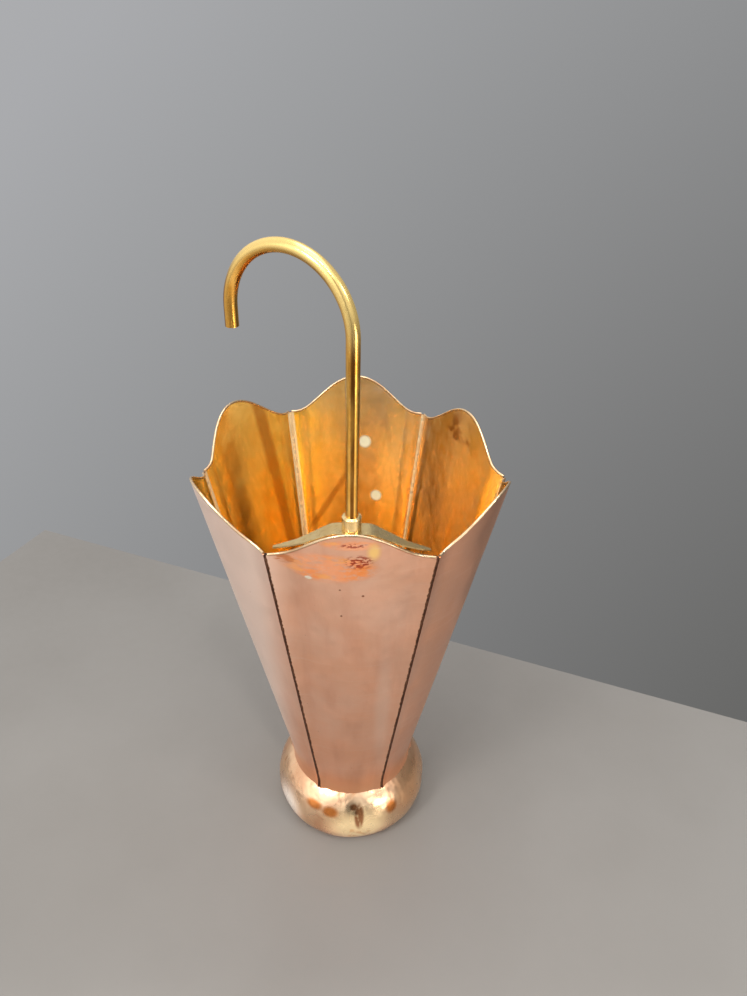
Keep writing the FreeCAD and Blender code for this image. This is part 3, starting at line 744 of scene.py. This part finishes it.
def lay_solder(index):
    start()
    bpy.ops.curve.primitive_nurbs_path_add()
    bead = bpy.context.object
    line = bead.data.splines[0]
    line.points.add(SEAM_POINTS - len(line.points))
    angle = 2 * half_panel * index
    first_bow = panels[0][2]
    for i, point in enumerate(line.points):
        share = i / (SEAM_POINTS - 1)
        height = wall_bottom + BEAD_END_GAP + (seam_top - wall_bottom - 2 * BEAD_END_GAP) * share
        lump = noise.noise(Vector((index * SEAMS_APART, 0.0, height * LUMP_CLOSENESS)))
        radius = panel_radius(1.0, min(height, valley_height), first_bow) - BEAD_INSET
        point.co = (radius * math.cos(angle), radius * math.sin(angle), height, 1.0)
        point.radius = 1.0 + LUMP_SIZE * lump
    line.use_endpoint_u = True
    line.order_u = 3
    bead.data.bevel_depth = BEAD_RADIUS
    bead.data.bevel_resolution = 2
    bead.data.resolution_u = 2
    bead.data.use_fill_caps = True
    only(bead)
    bpy.ops.object.convert(target="MESH")
    return bpy.context.object


beads = [lay_solder(index) for index in range(len(panels))]
start()
for bead in beads:
    bead.select_set(True)
bpy.context.view_layer.objects.active = beads[0]
bpy.ops.object.join()
solder = bpy.context.object
solder.name = "seam_solder_beads"
face_outwards(solder)
finish_piece(solder, [solder_finish, tin_and_highlight_finish], "seam_solder")
dress_inside(solder, -0.2)

# %% [markdown]
# ## The spun foot
#
# A spinner presses a copper disc over a turning form, so the foot is one outline turned once round its
# axis. The outline is drawn the same way here: one vertex is extruded from point to point along the
# outer skin and back along the inner, and spun. The copper was knocked a little in use, so its skin
# gets shallow dents afterwards.

# %% Spin the foot
def spin_outline(name, outline, steps, centre=(0, 0, 0)):
    """Extrudes one vertex round an outline of (radius, height) and spins it round an upright axis."""
    start()
    bpy.ops.mesh.primitive_plane_add(size=0.01)
    piece = bpy.context.object
    piece.name = name
    bpy.ops.object.mode_set(mode="EDIT")
    bpy.ops.mesh.merge(type="CENTER")
    points = [Vector((radius, 0, height)) + Vector(centre) for radius, height in outline]
    bpy.ops.transform.translate(value=points[0])
    for here, there in zip(points, points[1:] + points[:1]):
        bpy.ops.mesh.extrude_vertices_move(TRANSFORM_OT_translate={"value": there - here})
    bpy.ops.mesh.select_all(action="SELECT")
    bpy.ops.mesh.remove_doubles(threshold=1e-6)
    bpy.ops.mesh.spin(steps=steps, angle=2 * math.pi, center=centre, axis=(0, 0, 1))
    bpy.ops.object.mode_set(mode="OBJECT")
    face_outwards(piece)
    return piece


def arc_points(first, last, radius, count):
    """Points of an arc that bulges outwards between two points of an outline, without the last one."""
    (x0, z0), (x1, z1) = first, last
    chord = math.hypot(x1 - x0, z1 - z0)
    reach = math.sqrt(max(radius ** 2 - chord ** 2 / 4, 0.0))
    cx = (x0 + x1) / 2 - (z1 - z0) / chord * reach
    cz = (z0 + z1) / 2 + (x1 - x0) / chord * reach
    a0, a1 = math.atan2(z0 - cz, x0 - cx), math.atan2(z1 - cz, x1 - cx)
    angles = [a0 + (a1 - a0) * i / count for i in range(count)]
    return [(cx + radius * math.cos(angle), cz + radius * math.sin(angle)) for angle in angles]


foot_floor_radius, foot_wide_radius, foot_wide_height = 0.074, 0.0835, 0.024
shoulder_radius, shoulder_height, foot_lip, foot_thick = 0.064, 0.064, 0.007, 0.0012
neck_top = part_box("foot_ring")[1].z
neck_play, plate_play, neck_rise, inner_drop = 0.00015, 0.001, 0.0005, 0.0006
neck_radius_low = neck_radius - sheet_thick - neck_play
neck_radius_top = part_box("base_plate")[1].x + foot_thick + plate_play


def belly_radius(outwards, rise):
    """The radius of an arc that is upright at the foot's widest place."""
    return (outwards ** 2 + rise ** 2) / (2 * outwards)


def foot_outline():
    low_radius = belly_radius(foot_wide_radius - foot_floor_radius, foot_wide_height)
    high_radius = belly_radius(foot_wide_radius - shoulder_radius, shoulder_height - foot_wide_height)
    lip, wide = (foot_floor_radius, 0.0), (foot_wide_radius, foot_wide_height)
    shoulder = (shoulder_radius, shoulder_height)
    outer = [(foot_floor_radius - foot_lip, 0.0)]
    outer += arc_points(lip, wide, low_radius, 12) + arc_points(wide, shoulder, high_radius, 14)
    outer += [shoulder, (neck_radius_low, wall_bottom + neck_rise), (neck_radius_top, neck_top)]
    inner = [(neck_radius_top - foot_thick, neck_top), (neck_radius_low - foot_thick, wall_bottom)]
    for radius, height in reversed(outer[1:-2]):
        inner.append((radius - foot_thick, max(height - inner_drop, foot_thick)))
    inner.append((foot_floor_radius - foot_lip, foot_thick))
    return outer + inner


DENT_DEPTH = 0.0009
DENTS_FROM, DENTS_TO, DENTS_FADE = 0.012, 0.060, 0.015
DENT_OFFSET = Vector((0.0, 4.0, 9.0))

foot = spin_outline("foot_spun", foot_outline(), 160)
for vertex in foot.data.vertices:
    x, y, z = vertex.co
    upright = min(1.0, z / DENTS_FROM) * max(0.0, min(1.0, (DENTS_TO - z) / DENTS_FADE))
    dent = noise.noise(Vector((x * 36, y * 36, z * 40)) + DENT_OFFSET)
    vertex.co += Vector((x, y, 0)).normalized() * dent * DENT_DEPTH * upright
finish_piece(foot, [foot_finish], "foot_ring")

# %% [markdown]
# ## The crook handle
#
# A brass tube is bent over a round former until its end points down. By hand that is a circle extruded
# straight up, spun half a turn for the bend, and extruded down again for the short end. The wall is
# given afterwards.

# %% Bend the tube
rod_radius, rod_wall, rod_straight = 0.005, 0.001, 0.1505
crook_radius, crook_tip = 0.052, 0.0145
crook_azimuth = math.radians(147)
STRAIGHT_STEPS, BEND_STEPS, TIP_STEPS = 30, 72, 4
strap_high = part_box("strap")[1]
collar_low, collar_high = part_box("collar")
handle_foot = Vector(((collar_low.x + collar_high.x) / 2, (collar_low.y + collar_high.y) / 2, strap_high.z))


def along_tube(tube, towards, axis):
    """Where each vertex would be if the tube were straight again, for the finish to follow."""
    unbent = []
    for vertex in tube.data.vertices:
        forward = (vertex.co - handle_foot).dot(towards)
        sideways = (vertex.co - handle_foot).dot(axis)
        height = vertex.co.z - handle_foot.z
        if height > rod_straight:
            turned = math.atan2(height - rod_straight, crook_radius - forward)
            out = crook_radius - math.hypot(height - rod_straight, crook_radius - forward)
            unbent.append((out, sideways, rod_straight + turned * crook_radius))
        elif forward < crook_radius:
            unbent.append((forward, sideways, height))
        else:
            far = rod_straight + math.pi * crook_radius + (rod_straight - height)
            unbent.append((2 * crook_radius - forward, sideways, far))
    return unbent


def bend_tube():
    start()
    bpy.ops.mesh.primitive_circle_add(vertices=40, radius=rod_radius, location=handle_foot)
    tube = bpy.context.object
    tube.name = "handle_bent_tube"
    bpy.ops.object.transform_apply(location=True, rotation=True, scale=True)
    bpy.ops.object.mode_set(mode="EDIT")
    bpy.ops.mesh.select_all(action="SELECT")
    for _step in range(STRAIGHT_STEPS):
        rise = (0, 0, rod_straight / STRAIGHT_STEPS)
        bpy.ops.mesh.extrude_region_move(TRANSFORM_OT_translate={"value": rise})
    towards = Vector((math.cos(crook_azimuth), math.sin(crook_azimuth), 0))
    centre = handle_foot + Vector((0, 0, rod_straight)) + towards * crook_radius
    axis = towards.cross(Vector((0, 0, 1)))
    bpy.ops.mesh.spin(steps=BEND_STEPS, angle=math.pi, center=centre, axis=axis)
    for _step in range(TIP_STEPS):
        bpy.ops.mesh.extrude_region_move(TRANSFORM_OT_translate={"value": (0, 0, -crook_tip / TIP_STEPS)})
    bpy.ops.object.mode_set(mode="OBJECT")
    face_outwards(tube)
    modify(tube, "SOLIDIFY", thickness=rod_wall, offset=-1.0)
    remember(tube, "unbent", along_tube(tube, towards, axis))
    return tube


handle = bend_tube()
finish_piece(handle, [handle_finish], "handle_tube")

# %% [markdown]
# ## The collar
#
# A turned ring covers the joint of tube and strap. It is one small outline with a slanted top edge,
# spun like the foot, round the tube's own axis.

# %% Turn the collar
collar_radius = (collar_high.x - collar_low.x) / 2
bore = rod_radius + 0.00005
base_height, top_height = collar_low.z, collar_high.z
slant, base_bevel, edge_bevel, top_bevel = 0.0014, 0.0003, 0.0002, 0.0001
collar_outline = [
    (bore, base_height),
    (collar_radius - base_bevel, base_height),
    (collar_radius, base_height + base_bevel),
    (collar_radius, top_height - slant - edge_bevel),
    (collar_radius - edge_bevel, top_height - slant),
    (collar_radius - slant, top_height - top_bevel),
    (collar_radius - slant - edge_bevel, top_height),
    (bore, top_height)]
collar = spin_outline("collar_turned", collar_outline, 64, centre=(handle_foot.x, handle_foot.y, 0))
finish_piece(collar, [collar_finish], "collar")

# %% [markdown]
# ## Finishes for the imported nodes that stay
#
# The strap, the rim wire, the base plate and the hidden fixing have the right shape already. They only
# need their metals.

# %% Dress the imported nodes
kept_finishes = {
    "strap": strap_finish, "rim_wire": wire_finish, "base_plate": plate_finish,
    "handle_plug": collar_finish, "fixing_screw": steel_finish, "screw_washer": collar_finish}
for node, material in kept_finishes.items():
    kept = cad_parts[node]
    for slot_index in range(max(1, len(kept.material_slots))):
        if not kept.material_slots:
            kept.data.materials.append(material)
        kept.material_slots[slot_index].material = material
    print("dressed", node)

# %% [markdown]
# ## Floor
#
# The stand is on a plain table top whose far corner is behind it, to the left. A pale band of painted light
# lies on the floor in front of the stand, because the front panel and the handle reflect that part of it.

# %% Floor
start()
bpy.ops.mesh.primitive_plane_add(size=2)
floor = bpy.context.object
floor.name = "floor"
corner = Vector((-0.522, 0.488, 0))
back_edge, left_edge = Vector((3.3056, -1.248, 0)), Vector((-1.634, -3.306, 0))
floor_depth = Vector((0, -3.5, 0))
corners = [corner + left_edge, corner + back_edge + floor_depth, corner, corner + back_edge]
for vertex, place in zip(floor.data.vertices, corners):
    vertex.co = place


table_grey, table_pale = rgb(0.225, 0.214, 0.203), rgb(0.250, 0.240, 0.230)
front_light_pale = rgb(0.62, 0.585, 0.54)


def plain_floor():
    f = Finish("pale floor", 0.0, **{"Specular IOR Level": 0.3})
    base = f.blend(f.band(f.noise(3.0, 3.0), 0.3, 0.7), table_grey, table_pale)
    depth = f.part(f.place, "Y")
    # Painted light: a pale band across the floor in front of the stand.
    front = f.times(f.band(depth, -0.20, -0.66), f.band(depth, -1.05, -0.70))
    f.colour(f.blend(front, base, front_light_pale))
    f.rough(f.band(f.noise(60.0, 3.0), 0.3, 0.7, 0.45, 0.6))
    return f.material


floor.data.materials.append(plain_floor())
print("floor laid")

# %% [markdown]
# ## Air
#
# The air lights the stand, and is what its metal reflects: dark at the lower right, paler at the upper
# left, and brighter in front except in the very middle. Seen by itself it is plain grey.

# %% Air
world = bpy.data.worlds.new("plain air")
bpy.context.scene.world = world
world.use_nodes = True


AIR_DARK, AIR_GREY, AIR_BLUISH = rgb(0.12, 0.119, 0.114), rgb(0.355, 0.36, 0.37), rgb(0.40, 0.405, 0.42)
AIR_SHINING, AIR_PLAIN = rgb(0.85, 0.84, 0.82), rgb(0.50, 0.50, 0.50)


def air_colour(air, value, last):
    """Grey from dark to the last, palest one, along a value from -1.2 to 1."""
    spread = air.node("MapRange", [("Value", value), ("From Min", -1.2), ("From Max", 1.0)])
    ramp = air.node("ValToRGB", [("Fac", spread.outputs["Result"])])
    stops = ramp.color_ramp.elements
    stops[0].color, stops[1].color = AIR_DARK, last
    for position, colour in ((0.545, AIR_GREY), (0.64, AIR_BLUISH)):
        stops.new(position).color = colour
    return ramp.outputs["Color"]


def make_air():
    air = Nodes(world.node_tree)
    side, depth, height = (air.part(air.node("TexCoord").outputs["Generated"], axis) for axis in "XYZ")
    slant = air.math("SUBTRACT", height, side)
    in_front = air.band(depth, -0.1, -0.4)
    raised = air.times(in_front, air.band(height, -0.05, 0.25, 0.0, 1.1))
    middle = air.band(air.math("ABSOLUTE", air.math("ADD", side, 0.02)), 0.22, 0.10)
    dark = air.math("SUBTRACT", 1.0, air.times(in_front, middle))
    strength = air.times(air.math("ADD", raised, 1.0), dark)
    shining = air.tree.nodes["Background"]
    air.link(air_colour(air, slant, AIR_SHINING), shining.inputs["Color"])
    air.link(strength, shining.inputs["Strength"])
    plain = air.node("Background", [("Color", air_colour(air, slant, AIR_PLAIN))])
    seen = air.node("LightPath").outputs["Is Camera Ray"]
    mixed = air.node("MixShader", [(0, seen), (1, shining.outputs[0]), (2, plain.outputs[0])])
    air.link(mixed.outputs[0], air.tree.nodes["World Output"].inputs["Surface"])


make_air()
print("air made")


# %% [markdown]
# ## Lamps
#
# Two soft lamps, left and right, give the soft double shadow. A low one warms the right side, one
# behind brightens the inside and the handle, and a large dim one overhead lights the floor. Two small
# lamps high in front give small bright reflections.

# %% Lamps
def lamp(name, place, aim, size, power, colour=(1, 1, 1)):
    start()
    bpy.ops.object.light_add(type="AREA", location=place)
    light = bpy.context.object
    light.name = name
    light.data.shape = "DISK"
    light.data.size = size
    light.data.energy = power
    light.data.color = colour
    light.rotation_euler = (Vector(aim) - Vector(place)).to_track_quat("-Z", "Y").to_euler()
    return light


lamp("lamp right", (1.3, -0.9, 1.8), (0, 0, 0.25), 0.5, 7, (1.0, 0.96, 0.90))
lamp("lamp left", (-1.2, -1.2, 1.7), (0, 0, 0.25), 0.5, 15, (1.0, 0.97, 0.93))
lamp("lamp low right", (0.75, -0.80, 0.30), (0, -0.1, 0.45), 0.5, 2.5, (1.0, 0.95, 0.86))
lamp("lamp behind", (0.05, 0.55, 2.1), (0, 0.05, 0.6), 0.9, 6, (1.0, 0.98, 0.92))
lamp("overhead", (0.0, -0.2, 2.4), (0, 0, 0), 1.6, 12, (1.0, 0.98, 0.95))
lamp("small lamp high", (-0.10, -0.75, 2.1), (0, 0.1, 0.4), 0.12, 3, (1.0, 0.95, 0.85))
lamp("small lamp low", (0.12, -1.0, 1.9), (0, 0.1, 0.4), 0.10, 3, (1.0, 0.95, 0.85))
bpy.context.scene.view_settings.view_transform = "Standard"
print("lamps set")

# %% [markdown]
# ## Camera
#
# The camera is close, a third of the way up towards straight above, and very slightly rolled. It aims
# at the middle of the rim, a little to one side and lower, so that the foot and the crook both fit.

# %% Camera
camera_data = bpy.data.cameras.new("camera")
camera = bpy.data.objects.new("camera", camera_data)
bpy.context.scene.collection.objects.link(camera)
bpy.context.scene.camera = camera
camera_data.sensor_fit = "HORIZONTAL"
camera_data.sensor_width = 36.0
camera_data.lens = 39.88
azimuth, elevation, roll = math.radians(-0.886), math.radians(34.149), math.radians(1.515)
aim_right, aim_down, aim_rise, distance = 0.0177, 0.0207, 0.0015, 0.7427
level = math.cos(elevation)
back = Vector((math.sin(azimuth) * level, -math.cos(azimuth) * level, math.sin(elevation)))
right = Vector((math.cos(azimuth), math.sin(azimuth), 0))
up = back.cross(right)
target = Vector((0, 0, valley_height + aim_rise)) + right * aim_right - up * aim_down
turned_right = right * math.cos(roll) + up * math.sin(roll)
turned_up = up * math.cos(roll) - right * math.sin(roll)
pose = Matrix((turned_right, turned_up, back)).transposed().to_4x4()
pose.translation = target + back * distance
camera.matrix_world = pose
camera_data.clip_start = 0.01
print("camera at", [round(v, 3) for v in pose.translation])
